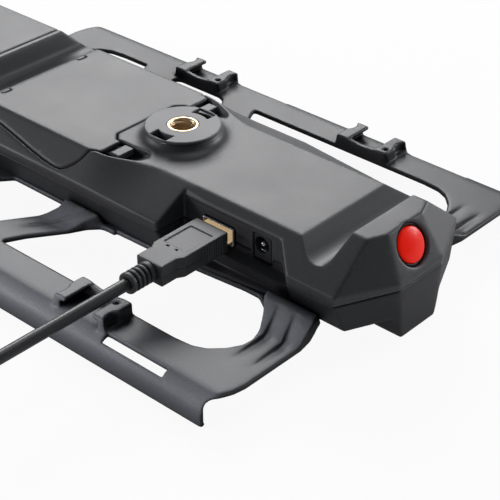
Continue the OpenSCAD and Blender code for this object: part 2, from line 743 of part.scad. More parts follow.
module usb_plug_shell() color([0.85, 0.72, 0.5]) difference() {
    usb_box(grip_y, [12, 14, 4.5]);
    usb_box(core_y, [11.4, 14, 3.9]);
    for (s = [-1, 1])
        translate([usb_x + s * 2.5 - 0.9, -24.8, usb_z + 1]) cube([1.8, 2.2, 3]);
}
module usb_plug_core() color([0.9, 0.9, 0.88])
    translate([usb_x - 5.7, core_y, usb_z - 1.95]) cube([11.4, 11.6, 1.8]);
module usb_plug_grip() color([0.13, 0.13, 0.14]) difference() {
    translate([usb_x, 0, usb_z - 4]) linear_extrude(8)
        polygon(concat(grip_half, flip_x(grip_half)));
    usb_box(-31.5, [12, 2.2, 4.5]);
    // finger grooves down both sides
    for (s = [-1, 1]) for (k = [0 : 4])
        translate([usb_x + s * 7.4 - 0.3, -37.4 - 1.3 * k, usb_z - 2.6])
            cube([0.6, 0.6, 5.4]);
}
module strain_relief() color([0.12, 0.12, 0.13]) difference() {
    usb_rod(-71, grip_end, 3.9);
    for (k = [0 : 3]) difference() {
        usb_rod(-63.4 - 2 * k, -62.6 - 2 * k, 6);
        usb_rod(-64 - 2 * k, -62 - 2 * k, 2.6);
    }
    usb_rod(-72, cable_y, cable_r);
}
module cable() color([0.15, 0.15, 0.16]) usb_rod(-152, cable_y, cable_r);

rear_cover();
lower_shell();
mount_disc();
threaded_insert();
mount_bracket();
battery_door();
door_hinge_pins();
door_latch_near();
door_latch_far();
battery_tray();
battery_cells();
contact_springs();
contact_plates();
sliding_end_cover();
sliding_end_base();
guide_bushes();
guide_rods();
cradle_frame();
lip_pads();
back_pads();
shell_screws();
frame_screws();
badge();
badge_bezel();
main_board();
control_chips();
usb_receptacle();
usb_tongue();
power_jack();
power_pin();
power_spring();
dock_connector();
dock_tip();
connector_board();
connector_flex();
usb_plug_shell();
usb_plug_core();
usb_plug_grip();
strain_relief();
cable();
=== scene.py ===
# A device cradle with a powered spine: a flat plate with arms, lips and clips, a housing on
# top of it with two sockets in its -y side, a plugged-in cable, and a round mount disc with
# a threaded insert. x runs along the spine, y across it, and z points up: the mount face is
# near z = 0 and the plate near z = -30 mm. Shapes are worked out in mm; Blender's scene is
# in metres.
import json
import math
import bpy
import numpy as np
import openvdb as vdb
from mathutils import Matrix, Vector


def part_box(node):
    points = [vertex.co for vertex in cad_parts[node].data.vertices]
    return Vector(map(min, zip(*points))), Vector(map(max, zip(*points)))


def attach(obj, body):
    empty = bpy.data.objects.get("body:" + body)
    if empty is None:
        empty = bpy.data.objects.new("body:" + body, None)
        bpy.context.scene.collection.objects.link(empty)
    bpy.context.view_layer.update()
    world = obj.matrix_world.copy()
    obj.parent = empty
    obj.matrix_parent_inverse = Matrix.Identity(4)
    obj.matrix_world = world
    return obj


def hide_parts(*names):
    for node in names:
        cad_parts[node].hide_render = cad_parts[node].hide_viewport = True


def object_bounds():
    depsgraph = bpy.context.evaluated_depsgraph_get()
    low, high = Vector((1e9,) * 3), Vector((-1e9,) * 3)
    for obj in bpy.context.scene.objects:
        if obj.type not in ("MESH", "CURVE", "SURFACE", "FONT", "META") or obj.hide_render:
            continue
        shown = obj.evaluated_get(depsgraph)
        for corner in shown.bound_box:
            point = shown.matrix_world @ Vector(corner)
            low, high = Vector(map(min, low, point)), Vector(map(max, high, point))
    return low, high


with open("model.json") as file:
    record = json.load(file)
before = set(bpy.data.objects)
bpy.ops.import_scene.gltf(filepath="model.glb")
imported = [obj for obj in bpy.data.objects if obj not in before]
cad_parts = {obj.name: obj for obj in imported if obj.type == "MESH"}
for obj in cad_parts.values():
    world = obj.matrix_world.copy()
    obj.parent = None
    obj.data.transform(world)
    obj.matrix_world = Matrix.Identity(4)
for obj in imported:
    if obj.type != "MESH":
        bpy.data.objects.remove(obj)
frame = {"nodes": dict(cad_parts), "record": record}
CAD_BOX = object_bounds()
NODES = frame["nodes"]
BODY = {n: b for b, ns in frame["record"]["behaviour"]["bodies"].items() for n in ns}
SLOT = {s["node"]: s["material_slot"] for s in frame["record"]["subparts"]}
COARSE = 1.0
scene = bpy.context.scene

# shared places, mm
HINGE_X, HINGE_Z = -77.9, -6.36
USB_X, USB_Z = 42.75, -16.35
PORT_Y = -26.3
PLATE_TOP, PLATE_FOOT = -29.7, -31.9


# ---------------------------------------------------------------- shader trees
def srgb(red, green, blue):
    """linear RGBA from sRGB levels of 0 to 255"""
    levels = (red / 255, green / 255, blue / 255)
    linear = (c / 12.92 if c <= 0.04045 else ((c + 0.055) / 1.055) ** 2.4 for c in levels)
    return tuple(linear) + (1.0,)


def grey(level):
    """a slightly cool grey"""
    return srgb(level - 1, level, level + 4)


class Tree:
    """a material with a Principled shader, and short calls that add nodes to it"""

    def __init__(self, name):
        self.material = bpy.data.materials.new(name)
        self.material.use_nodes = True
        self.tree = self.material.node_tree
        self.tree.nodes.clear()
        self.out = self.new("OutputMaterial")
        self.bsdf = self.new("BsdfPrincipled")
        self.put(self.out.inputs[0], self.bsdf.outputs[0])
        self.coords = self.new("TexCoord").outputs["Object"]

    def new(self, kind, **values):
        node = self.tree.nodes.new("ShaderNode" + kind)
        for key, value in values.items():
            setattr(node, key, value)
        return node

    def put(self, socket, value):
        """link a socket, or set a plain value"""
        if isinstance(value, bpy.types.NodeSocket):
            self.tree.links.new(value, socket)
        else:
            socket.default_value = value

    def surface(self, name, value):
        self.put(self.bsdf.inputs[name], value)

    def noise(self, scale, detail=4.0, rough=0.55, coords=None):
        node = self.new("TexNoise")
        self.put(node.inputs["Vector"], coords or self.coords)
        node.inputs["Scale"].default_value = scale
        node.inputs["Detail"].default_value = detail
        node.inputs["Roughness"].default_value = rough
        return node.outputs[0]

    def voronoi(self, scale):
        node = self.new("TexVoronoi")
        self.put(node.inputs["Vector"], self.coords)
        node.inputs["Scale"].default_value = scale
        return node.outputs[0]

    def ramp(self, value, lo, hi, levels=(0, 1)):
        """blend between two grey levels as value goes from lo to hi"""
        node = self.new("ValToRGB")
        for stop, place, level in zip(node.color_ramp.elements, (lo, hi), levels):
            stop.position = place
            stop.color = (level, level, level, 1)
        self.put(node.inputs[0], value)
        return node.outputs[0]

    def math(self, operation, *values):
        node = self.new("Math", operation=operation)
        for socket, value in zip(node.inputs, values + (0.0,) * (3 - len(values))):
            self.put(socket, value)
        return node.outputs[0]

    def mix(self, factor, first, second):
        node = self.new("Mix", data_type="RGBA")
        for index, value in ((0, factor), (6, first), (7, second)):
            self.put(node.inputs[index], value)
        return node.outputs[2]

    def scaled(self, scale):
        node = self.new("Mapping")
        self.put(node.inputs[0], self.coords)
        node.inputs["Scale"].default_value = scale
        return node.outputs[0]

    def bump(self, height, strength, distance, normal=None):
        node = self.new("Bump")
        node.inputs["Strength"].default_value = strength
        node.inputs["Distance"].default_value = distance
        self.put(node.inputs["Height"], height)
        if normal is not None:
            self.put(node.inputs["Normal"], normal)
        return node.outputs[0]

    def edge(self, radius, lo, hi):
        """1 on edges narrower than radius, 0 on flats"""
        bevel = self.new("Bevel", samples=4)
        bevel.inputs["Radius"].default_value = radius
        geometry = self.new("NewGeometry")
        dot = self.new("VectorMath", operation="DOT_PRODUCT")
        self.put(dot.inputs[0], bevel.outputs[0])
        self.put(dot.inputs[1], geometry.outputs["Normal"])
        return self.ramp(dot.outputs["Value"], lo, hi, levels=(1, 0))


# ---------------------------------------------------------------- materials
def moulded(name, colour, light, rough, bump, grain=2600.0, spec=0.5, wear_and_highlight=0.25, painted_shade=0.0):
    """grained plastic: fine pits, cloudy roughness, smoother edges. wear lightens edges, partly
    as rubbed wear and partly as a painted highlight; shade paints shade onto places close to
    other surfaces, darkening them"""
    tree = Tree(name)
    pits = tree.noise(grain, detail=3.0, rough=0.6)
    coarse = tree.voronoi(grain * 0.5)
    cloud = tree.noise(34.0, detail=5.0, rough=0.6)
    fleck = tree.noise(grain * 0.8, detail=2.0, rough=0.5)
    paler = tuple(c * 1.1 for c in colour[:3]) + (1,)
    base = tree.mix(tree.ramp(cloud, lo=0.3, hi=0.72), colour, paler)
    flecks = tree.math("MULTIPLY", tree.ramp(fleck, lo=0.45, hi=0.75), 0.16)
    base = tree.mix(flecks, base, light)
    # paler edges: partly rubbed wear, partly a painted highlight
    edge = tree.edge(radius=0.0005, lo=0.80, hi=0.97)
    base = tree.mix(tree.math("MULTIPLY", edge, wear_and_highlight), base, light)
    if painted_shade:
        # painted shade: nearly black, with less sheen, where the piece runs in under its
        # neighbours
        occlusion = tree.new("AmbientOcclusion", samples=8)
        occlusion.inputs["Distance"].default_value = 0.045
        near = tree.ramp(occlusion.outputs["AO"], lo=0.40, hi=0.90, levels=(1, 0))
        near = tree.math("MULTIPLY", near, painted_shade)
        base = tree.mix(near, base, (0.004, 0.004, 0.005, 1))
        spec = tree.math("MULTIPLY", tree.math("SUBTRACT", 1.0, near), spec)
    tree.surface("Specular IOR Level", spec)
    tree.surface("Base Color", base)
    # roughness: +-0.06 from the cloud, smoother on edges, rougher on flecks
    value = tree.math("MULTIPLY_ADD", cloud, 0.12, rough - 0.06)
    value = tree.math("SUBTRACT", value, tree.math("MULTIPLY", edge, 0.08))
    tree.surface("Roughness", tree.math("MULTIPLY_ADD", fleck, 0.06, value))
    normal = tree.bump(coarse, strength=bump * 0.5, distance=0.00005)
    tree.surface("Normal", tree.bump(pits, strength=bump, distance=0.00004, normal=normal))
    return tree.material


def metal(name, colour, dark, rough, brush=(40, 40, 1500), bump=0.15, stain=0.3,
          metallic=1.0, glow=0.0):
    """brushed metal: brush is the streaks' noise scale along x, y and z, stain the share of dark
    in the clouds, glow a painted glow that only the camera sees, lightening the part though it
    is no lamp"""
    tree = Tree(name)
    streak = tree.noise(1.0, detail=3.0, rough=0.6, coords=tree.scaled(brush))
    cloud = tree.noise(220.0, detail=4.0, rough=0.6)
    stains = tree.math("MULTIPLY", tree.ramp(cloud, lo=0.35, hi=0.75), stain)
    tree.surface("Base Color", tree.mix(stains, colour, dark))
    tree.surface("Metallic", metallic)
    tree.surface("Emission Color", colour)
    # painted light: the part glows for the camera though it is no lamp
    if glow:
        camera_ray = tree.new("LightPath").outputs["Is Camera Ray"]
        tree.surface("Emission Strength", tree.math("MULTIPLY", camera_ray, glow))
    value = tree.math("MULTIPLY_ADD", cloud, 0.15, rough - 0.15)
    tree.surface("Roughness", tree.math("MULTIPLY_ADD", streak, 0.22, value))
    tree.surface("Normal", tree.bump(streak, strength=bump, distance=0.00003))
    return tree.material


def gloss(name, colour, rough, speck=None, coat=0.6, spec=0.5, glow=0.0):
    """smooth coated surface, clouded with a second colour"""
    tree = Tree(name)
    cloud = tree.noise(120.0, detail=4.0, rough=0.55)
    fine = tree.noise(2600.0, detail=2.0, rough=0.5)
    speck = speck or tuple(c * 0.8 for c in colour[:3]) + (1,)
    tree.surface("Base Color", tree.mix(tree.ramp(cloud, lo=0.35, hi=0.7), colour, speck))
    value = tree.math("MULTIPLY_ADD", cloud, 0.08, rough)
    tree.surface("Roughness", tree.math("MULTIPLY_ADD", fine, 0.08, value))
    tree.surface("Specular IOR Level", spec)
    # painted light: with glow above zero the surface glows though it is no lamp
    tree.surface("Emission Color", colour)
    tree.surface("Emission Strength", glow)
    tree.surface("Coat Weight", coat)
    tree.surface("Coat Roughness", 0.06)
    tree.surface("Normal", tree.bump(fine, strength=0.05, distance=0.00002))
    return tree.material


MATERIALS = {
    "shell": moulded("shell_abs", grey(62), grey(112), rough=0.44, bump=0.36, spec=0.62),
    "shell_dark": moulded("lower_abs", grey(46), grey(84), rough=0.46, bump=0.32, spec=0.45),
    "disc": moulded("disc_abs", grey(92), grey(140), rough=0.46, bump=0.36, spec=0.6),
    # the frame gets painted shade, fading to near black where it runs in under the housing
    "frame": moulded("frame_abs", grey(58), grey(106), rough=0.38, bump=0.26, spec=0.40,
                     wear_and_highlight=0.35, painted_shade=0.9),
    "brass": metal("turned_brass", srgb(240, 214, 172), srgb(150, 104, 60), rough=0.30,
                   brush=(90, 90, 5200), stain=0.25, metallic=0.85),
    "zinc_steel": metal("zinc_steel", srgb(205, 206, 210), srgb(150, 150, 158), rough=0.3),
    "rod_steel": metal("ground_steel", srgb(212, 213, 216), srgb(160, 161, 166), rough=0.2,
                       brush=(3000, 60, 60)),
    "bronze": metal("sintered_bronze", srgb(176, 128, 78), srgb(110, 76, 44), rough=0.42,
                    brush=(400, 400, 400), bump=0.3),
    "black_steel": metal("black_oxide", srgb(52, 52, 56), srgb(28, 28, 31), rough=0.38,
                         brush=(600, 600, 600), stain=0.5),
    "rubber": moulded("rubber", grey(34), grey(52), rough=0.72, grain=1500, bump=0.5,
                      spec=0.3, wear_and_highlight=0.1),
    # the badge gets a painted glow that brightens its red
    "badge_red": gloss("badge_red", srgb(240, 30, 10), rough=0.22, speck=srgb(232, 22, 6),
                       coat=0.05, spec=0.25, glow=0.34),
    "gloss_black": gloss("gloss_black", grey(5), rough=0.30, coat=0.05, spec=0.2),
    "board_green": gloss("solder_mask", srgb(16, 84, 52), rough=0.3, speck=srgb(10, 62, 38),
                         coat=0.3),
    "chip": moulded("chip_epoxy", grey(36), grey(60), rough=0.55, bump=0.2),
    "nickel": metal("nickel", srgb(236, 236, 238), srgb(190, 188, 188), rough=0.2,
                    brush=(1500, 40, 40), metallic=0.9),
    # the warm nickel gets a painted glow that lightens its cream tone
    "gold_nickel": metal("warm_nickel", srgb(250, 216, 166), srgb(220, 176, 120), rough=0.34,
                         brush=(60, 1400, 60), metallic=0.25, glow=0.42),
    "insulator": gloss("nylon", srgb(232, 230, 220), rough=0.35, speck=srgb(215, 212, 200),
                       coat=0.1),
    "cell_wrap": gloss("cell_wrap", srgb(44, 48, 56), rough=0.25, speck=srgb(30, 33, 40),
                       coat=0.5),
    "polyimide": gloss("polyimide", srgb(176, 104, 26), rough=0.25, speck=srgb(150, 84, 18),
                       coat=0.4),
    "cable_grip": moulded("grip_pvc", grey(66), grey(112), rough=0.44, grain=2300, bump=0.3,
                          spec=0.55),
    "cable_jacket": moulded("cable_pvc", grey(36), grey(70), rough=0.34, grain=1600,
                            bump=0.08, spec=0.6, wear_and_highlight=0.0),
}


# ---------------------------------------------------------------- distance fields, in mm
MARGIN = 4  # voxels round the box


def mesh_arrays(mesh):
    """points and triangles of a mesh"""
    mesh.calc_loop_triangles()
    points = np.empty(len(mesh.vertices) * 3, np.float32)
    mesh.vertices.foreach_get("co", points)
    triangles = np.empty(len(mesh.loop_triangles) * 3, np.int32)
    mesh.loop_triangles.foreach_get("vertices", triangles)
    return points.reshape(-1, 3), triangles.reshape(-1, 3)


def smooth(mesh):
    for polygon in mesh.polygons:
        polygon.use_smooth = True


class Field:
    """signed distances on a voxel grid, negative inside. Filled from a CAD node, or left
    for the caller to fill when only a box is given"""

    def __init__(self, voxel, node=None, box=None, band=2.6, pad=0.0):
        self.voxel = voxel = voxel * COARSE
        self.band = band
        if node:
            points, triangles = mesh_arrays(NODES[node].data)
            points = points * 1000
            box = points.min(0) - pad, points.max(0) + pad
        first = np.floor(np.array(box[0]) / voxel).astype(int) - MARGIN
        count = np.ceil(np.array(box[1]) / voxel).astype(int) + MARGIN + 1 - first
        self.first = tuple(int(i) for i in first)
        if node:
            grid = vdb.FloatGrid.createLevelSetFromPolygons(
                points, triangles=triangles.astype(np.uint32),
                transform=vdb.createLinearTransform(voxelSize=voxel),
                halfWidth=max(4.0, band / voxel))
            self.dist = np.empty(tuple(count), np.float32)
            grid.copyToArray(self.dist, ijk=self.first)
        axes = [((first[k] + np.arange(count[k])) * voxel).astype(np.float32) for k in range(3)]
        self.x = axes[0][:, None, None]
        self.y = axes[1][None, :, None]
        self.z = axes[2][None, None, :]

    def blur(self, passes):
        """1-2-1 average along each axis"""
        for _ in range(passes):
            for axis in range(3):
                blurred = self.dist.copy()
                old = np.moveaxis(self.dist, axis, 0)
                new = np.moveaxis(blurred, axis, 0)
                new[1:-1] = 0.5 * old[1:-1] + 0.25 * (old[:-2] + old[2:])
                self.dist = blurred
        return self

    def cut(self, shape, blend=0.0):
        self.dist = smooth_max(self.dist, -shape, blend)

    def add(self, shape, blend=0.0):
        self.dist = -smooth_max(-self.dist, -shape, blend)

    def mesh(self, name, adapt, warp):
        """surface of the field as an object, its points moved by warp if given"""
        band = float(self.band)
        dist = np.ascontiguousarray(np.clip(self.dist, -band, band).astype(np.float32))
        for axis in range(3):
            np.moveaxis(dist, axis, 0)[[0, -1]] = band
        grid = vdb.FloatGrid(band)
        grid.copyFromArray(dist, ijk=self.first, tolerance=1e-5)
        grid.transform = vdb.createLinearTransform(voxelSize=self.voxel)
        points, triangles, quads = grid.convertToPolygons(isovalue=0.0, adaptivity=adapt)
        points = np.array(points, np.float64)
        if warp is not None:
            points = warp(points)
        faces = [tuple(int(i) for i in f[::-1]) for part in (triangles, quads) for f in part]
        mesh = bpy.data.meshes.new(name)
        mesh.from_pydata((points / 1000).tolist(), [], faces)
        mesh.validate()
        smooth(mesh)
        # a negative volume means the faces point inwards
        points, triangles = mesh_arrays(mesh)
        a, b, c = (points.astype(np.float64)[triangles[:, k]] for k in range(3))
        if np.einsum("ij,ij->i", a, np.cross(b, c)).sum() < 0:
            mesh.flip_normals()
        ob = bpy.data.objects.new(name, mesh)
        scene.collection.objects.link(ob)
        return ob


def smooth_max(a, b, blend=0.0):
    top = np.maximum(a, b)
    if blend <= 0:
        return top
    overlap = np.maximum(blend - np.abs(a - b), 0)
    return top + overlap * overlap / (4 * blend)


def meet(*shapes):
    """what all the shapes share"""
    common = shapes[0]
    for shape in shapes[1:]:
        common = np.maximum(common, shape)
    return common


def within(value, lo, hi):
    return np.maximum(lo - value, value - hi)


def radius(a, b):
    return np.sqrt(a ** 2 + b ** 2)


def polygon(across, up, outline):
    """signed distance to a closed outline"""
    across, up = np.broadcast_arrays(across, up)
    nearest = np.full(across.shape, 1e9)
    inside = np.zeros(across.shape, bool)
    for i in range(len(outline)):
        (ax, ay), (bx, by) = outline[i - 1], outline[i]
        ex, ey = bx - ax, by - ay
        wx, wy = across - ax, up - ay
        t = np.clip((wx * ex + wy * ey) / (ex * ex + ey * ey), 0, 1)
        nearest = np.minimum(nearest, (wx - ex * t) ** 2 + (wy - ey * t) ** 2)
        if ey != 0:
            inside ^= ((ay <= up) != (by <= up)) & (across < ax + wy * ex / ey)
    return np.where(inside, -np.sqrt(nearest), np.sqrt(nearest)).astype(np.float32)


def block(field, lo, hi, round_by=0.0):
    """box with rounded edges"""
    q = [np.abs(a - (l + h) / 2) - ((h - l) / 2 - round_by)
         for a, l, h in zip((field.x, field.y, field.z), lo, hi)]
    outside = np.sqrt(sum(np.maximum(a, 0) ** 2 for a in q))
    return outside + np.minimum(meet(*q), 0) - round_by


def usb_block(field, half_x, y_lo, y_hi, half_z, round_by):
    """block centred on the USB axis"""
    return block(field, (USB_X - half_x, y_lo, USB_Z - half_z),
                 (USB_X + half_x, y_hi, USB_Z + half_z), round_by)


def capsule(field, start, end, size):
    a = np.array(start, float)
    d = np.array(end, float) - a
    x, y, z = field.x, field.y, field.z
    t = np.clip(((x - a[0]) * d[0] + (y - a[1]) * d[1] + (z - a[2]) * d[2]) / (d @ d), 0, 1)
    return np.sqrt((x - a[0] - t * d[0]) ** 2 + (y - a[1] - t * d[1]) ** 2
                   + (z - a[2] - t * d[2]) ** 2) - size


def dress(ob, node):
    ob.data.materials.clear()
    ob.data.materials.append(MATERIALS[SLOT[node]])


def skin(field, node, name=None, adapt=0.03, warp=None):
    """mesh a field to stand for a CAD node, with its finish and its body"""
    ob = field.mesh(name or node + "_skin", adapt, warp)
    dress(ob, node)
    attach(ob, BODY[node])
    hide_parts(node)
    return ob


def soft_copy(node, voxel, passes, **options):
    """the CAD node with its edges softened"""
    skin(Field(voxel, node).blur(passes), node, **options)


# ---------------------------------------------------------------- housing
WAIST_X = -18.0                     # where the narrowing starts
WAIST_TOP, WAIST_FOOT = -5.1, -14.5  # z of the facet's ends
HALF_WIDE, NARROWING, HALF_FOOT = 30.0, 7.4, 40.0  # half widths in y


def ease(a, b, x):
    u = np.clip((x - a) / (b - a), 0, 1)
    return u * u * (3 - 2 * u)


def waist(points):
    """bends the flat waist of the CAD shell into one S-shaped facet"""
    x, y, z = points.T
    down = np.clip((WAIST_TOP - z) / (WAIST_TOP - WAIST_FOOT), 0, 1.0)
    straight = HALF_WIDE - NARROWING * np.clip((x - WAIST_X) / 33, 0, 1)
    old = np.minimum(HALF_WIDE + (HALF_FOOT - HALF_WIDE) * down,
                     straight + (HALF_FOOT - (HALF_WIDE - NARROWING)) * down)
    new = HALF_WIDE - NARROWING * ease(WAIST_X, 14.5, x)
    new = new + (HALF_FOOT - new) * down
    # only the flanks move
    reach = ease(18, 25, np.abs(y)) * ((x > WAIST_X) & (x < 26) & (z > -18.0))
    out = points.copy()
    out[:, 1] += np.sign(y) * (new - old) * reach
    return out


def hinge_barrel(field, size, spans):
    axle = radius(field.x - HINGE_X, field.z - HINGE_Z)
    return np.maximum(axle - size, spans).astype(np.float32)


def rear_cover():
    field = Field(0.36, "rear_cover").blur(1)
    # flared rim round the badge, in distances from and along the badge's tilted axis
    tilt = math.radians(63.4)
    dx, dz = field.x - 106.7, field.z + 7.0
    along = dx * math.sin(tilt) + dz * math.cos(tilt)
    across = dx * math.cos(tilt) - dz * math.sin(tilt)
    flare = radius(across, field.y) - 7.6 - 0.5 * np.maximum(along - 0.05, -0.6)
    field.cut(np.maximum(flare, -along - 3), 0.4)
    # sloping cut above the port bay
    slope = -0.855 * (field.y + 25.0) + 0.518 * (field.z + 6.6)
    field.cut(np.maximum(-slope, np.abs(field.x - 48.6) - 22.9), 0.15)
    # shadow line along the bay and down its +x end
    corner = (70.0, -26.0, -9.3)
    for start, end in (((26.5, -26.0, -9.3), corner), (corner, (71.4, -26.2, -20.0))):
        field.cut(capsule(field, start, end, size=0.3), 0.2)
    field.blur(1)
    # crisp mouths: a wall pierced for the power jack, then the USB opening
    field.add(block(field, (57.6, -26.0, -21.2), (67.8, -24.1, -9.7)))
    field.cut(block(field, (58.2, -30.0, -20.6), (66.93, -22.0, -10.33)))
    field.cut(block(field, (35.5, -30.0, -19.9), (50.0, -22.0, -12.8)))
    # whole hinge knuckles
    field.add(hinge_barrel(field, 1.15, np.abs(np.abs(field.y) - 20) - 2))
    skin(field, "rear_cover", warp=waist)


def battery_door():
    field = Field(0.36, "battery_door").blur(2)
    off = np.abs(field.y)
    # barrels between and outside the cover's knuckles
    spans = np.minimum(off - 17.8, np.maximum(22.2 - off, off - 29.6))
    field.add(hinge_barrel(field, 1.2, spans))
    skin(field, "battery_door", warp=waist)


rear_cover()
battery_door()
soft_copy("lower_shell", voxel=0.4, passes=2, warp=waist)
for node in ("sliding_end_cover", "sliding_end_base"):
    soft_copy(node, voxel=0.42, passes=2)


# ---------------------------------------------------------------- cradle frame
# top of the bend from plate to lip: |y|, z from the plate's top
BEND = [(79.0, 0.0), (80.4, -0.02), (81.3, -0.12), (82.2, -0.42), (83.1, -0.95), (84.1, -1.68),
        (85.0, -2.5), (85.8, -3.4), (86.4, -4.35), (86.8, -5.4), (87.05, -6.5), (87.1, -7.2)]
# its underside, from the lip back to the plate: |y|, z from the plate's top
BEND_UNDER = [(85.6, -7.2), (85.4, -5.2), (85.0, -4.1), (84.2, -3.2), (83.2, -2.6),
              (82.2, -2.2), (79.0, -2.2)]
# tops of the arms' roots: |y| values, then z values
END_RAMP = ([30.3, 32.3, 36, 40.5, 45.5, 49], [-24.9, -24.9, -25.1, -26.4, -28.9, PLATE_TOP])
MID_RAMP = ([37.3, 40.5, 45.5, 49], [-25.0, -26.4, -28.9, PLATE_TOP])
# steps in the roots: ramp, depth factor, width, then the wall's path as x, |y|, depth
STEPS = (
    (END_RAMP, 1.0, 5.5, [(79.4, 37.2, 0.5), (81.0, 41.5, 1.2), (81.9, 45.0, 1.7),
                          (82.8, 48.1, 1.6), (83.3, 56.4, 0.9), (84.0, 66.0, 0.0)]),
    (END_RAMP, 1.0, 5.0, [(86.9, 37.2, 0.5), (88.2, 41.1, 1.2), (89.2, 44.4, 1.7),
                          (90.3, 47.2, 1.6), (90.8, 55.9, 0.9), (91.8, 65.5, 0.0)]),
    (MID_RAMP, 0.9, 4.0, [(-14.0, 37.0, 0.6), (-18.1, 42.0, 1.1), (-21.8, 46.5, 1.2),
                          (-24.9, 50.0, 1.0), (-27.05, 54.25, 0.7), (-31.7, 60.1, 0.0)]),
    (MID_RAMP, 0.8, 2.5, [(-13.5, 42.4, 0.1), (-15.5, 44.4, 0.6), (-17.3, 46.4, 0.7),
                          (-19.2, 48.2, 0.6), (-22.5, 53.4, 0.0)]),
    (MID_RAMP, 0.9, 4.0, [(-124.6, 38.0, 0.4), (-125.6, 45.0, 1.1), (-127.0, 52.0, 0.8),
                          (-128.6, 62.0, 0.0)]),
)
CLIPS_X = (30.4, -60.0)
CLIP_TOP, CLIP_HALF, CLIP_INNER = -25.2, 13.1, 68.6  # z, half length in x, nearest |y|
SLOTS_X = ((44.0, 72.2), (-48.0, -19.8))


def shape_bend(field):
    """one smooth profile from plate to lip: a cubic through the BEND points"""
    knot_y, knot_z = zip(*BEND)
    slope = np.gradient(knot_z, knot_y)
    line = []
    for a in range(len(BEND) - 1):
        for t in np.arange(0, 1, 0.2):
            width, t2, t3 = knot_y[a + 1] - knot_y[a], t * t, t * t * t
            line.append((
                knot_y[a] + t * width,
                PLATE_TOP + knot_z[a] * (2 * t3 - 3 * t2 + 1) + knot_z[a + 1] * (3 * t2 - 2 * t3)
                + width * (slope[a] * (t3 - 2 * t2 + t) + slope[a + 1] * (t3 - t2))))
    lip_y, lip_z = knot_y[-1], PLATE_TOP + knot_z[-1]
    line.append((lip_y, lip_z))
    off, z = np.abs(field.y[0]), field.z[0]
    above = polygon(off, z, [(79.0, 0)] + line + [(100, lip_z), (100, 0)])
    solid = polygon(off, z, line + [(y, PLATE_TOP + drop) for y, drop in BEND_UNDER])
    field.cut(above[None])
    field.add(np.maximum(solid[None], np.maximum(field.x - 91.3, -133.3 - field.x)))


def cut_step(field, ramp, factor, width, path):
    """a steep wall facing +x, with a floor that climbs back to the ramp beyond it"""
    off = np.abs(field.y)
    path_x, path_y, path_depth = zip(*path)
    top = np.interp(off, *ramp)
    wall_x = np.interp(off, path_y, path_x)
    depth = np.interp(off, path_y, path_depth) * factor
    lean = 1 / np.sqrt(1 + ((path_x[-1] - path_x[0]) / (path_y[-1] - path_y[0])) ** 2)
    side = (field.x - wall_x) * lean
    floor = top + 0.35 - (depth + 0.35) * (1 - side / width)
    # never thinner than the skin the plate needs
    floor = np.maximum(floor, PLATE_FOOT + 0.75)
    wall = -(side + 0.28 * (field.z - top)) * 0.95
    ends = within(off, path_y[0] - 0.5, path_y[-1])
    field.cut(meet((floor - field.z) * 0.95, wall, ends, side - width).astype(np.float32))


def clip_pair(x, y, z, clip_x):
    """accessory clips at +y and -y: a wall between two hooked posts"""
    u, off = x - clip_x, np.abs(y)
    draft = 0.8 * np.clip((z - PLATE_TOP) / 4.5, 0, 1)
    post_draft = 0.5 * np.clip((z - PLATE_TOP) / 4.5, 0, 1)
    height = within(z, PLATE_TOP - 0.5, CLIP_TOP)
    # the wall's top sags in the middle
    top = CLIP_TOP - 1.05 * np.clip(1 - (u / 8.6) ** 2, 0, 1)
    body = meet(-CLIP_HALF + draft - u, u - CLIP_HALF + draft,
                within(off, CLIP_INNER, 70.9), height, (z - top) * 0.97)
    for sign in (-1, 1):
        out = u * sign
        post = meet(9.4 - out, out - CLIP_HALF + draft, 69.5 - off, off - 82.8 + post_draft,
                    height)
        # hook over the middle, thinner towards its free edge
        under = -26.7 - 0.30 * np.maximum(out - 6.5, 0)
        hook = meet(within(out, 6.5, 12.3), within(off, 69.5, 82.4), within(z, under, CLIP_TOP))
        body = np.minimum(body, np.minimum(post, hook))
    # scooped ends, and a bevelled +x corner towards the spine
    scoop = radius(np.abs(u) - 15.4, off - 78.6) - 4.5
    body = smooth_max(body, -np.maximum(scoop, -29.0 - z), 0.4)
    body = np.maximum(body, (u + (CLIP_INNER + 12.9 - off) - CLIP_HALF - 11.6) * 0.7071)
    # peg hole, nearer the clip's middle on the -y side
    hole_u, hole_y = np.where(y < 0, 8.0, 10.1), np.where(y < 0, 72.2, 71.9)
    body = smooth_max(body, -(radius(u - hole_u, off - hole_y) - 0.95), 0.2)
    return body.astype(np.float32)


def cradle_frame():
    field = Field(0.42, "cradle_frame")
    off = np.abs(field.y)
    # the CAD clips come off the plate and are shaped afresh below
    for clip_x in CLIPS_X:
        field.cut(meet(np.abs(field.x - clip_x) - 14.5, 67.5 - off, PLATE_TOP + 0.02 - field.z))
    field.blur(1)
    shape_bend(field)
    for step in STEPS:
        cut_step(field, *step)
    field.blur(1)
    for clip_x in CLIPS_X:
        i = np.nonzero(np.abs(field.x[:, 0, 0] - clip_x) < 17)[0]
        clips = clip_pair(field.x[i], field.y, field.z, clip_x)
        field.dist[i] = -smooth_max(-field.dist[i], -clips, 0.5)
    field.blur(1)
    # crisp strap slots through the bend
    for lo, hi in SLOTS_X:
        along = np.abs(field.x - (lo + hi) / 2) - (hi - lo) / 2
        field.cut(meet(along, np.abs(off - 83.05) - 1.45, PLATE_FOOT - 2.4 - field.z))
    # webs that close the corner between the middle arms and the spine
    for lo, hi in ((-37.0, -33.0), (33.0, 37.0)):
        field.add(block(field, (-13.0, lo, PLATE_FOOT), (0.0, hi, -29.8), 0.3), 0.3)
    return skin(field, "cradle_frame", name="cradle_skin", adapt=0.02)


cradle = cradle_frame()


# ---------------------------------------------------------------- hub and badge
THREAD_PITCH = 25.4 / 16
CREST_RADIUS, THREAD_DEPTH = 3.98, 0.78


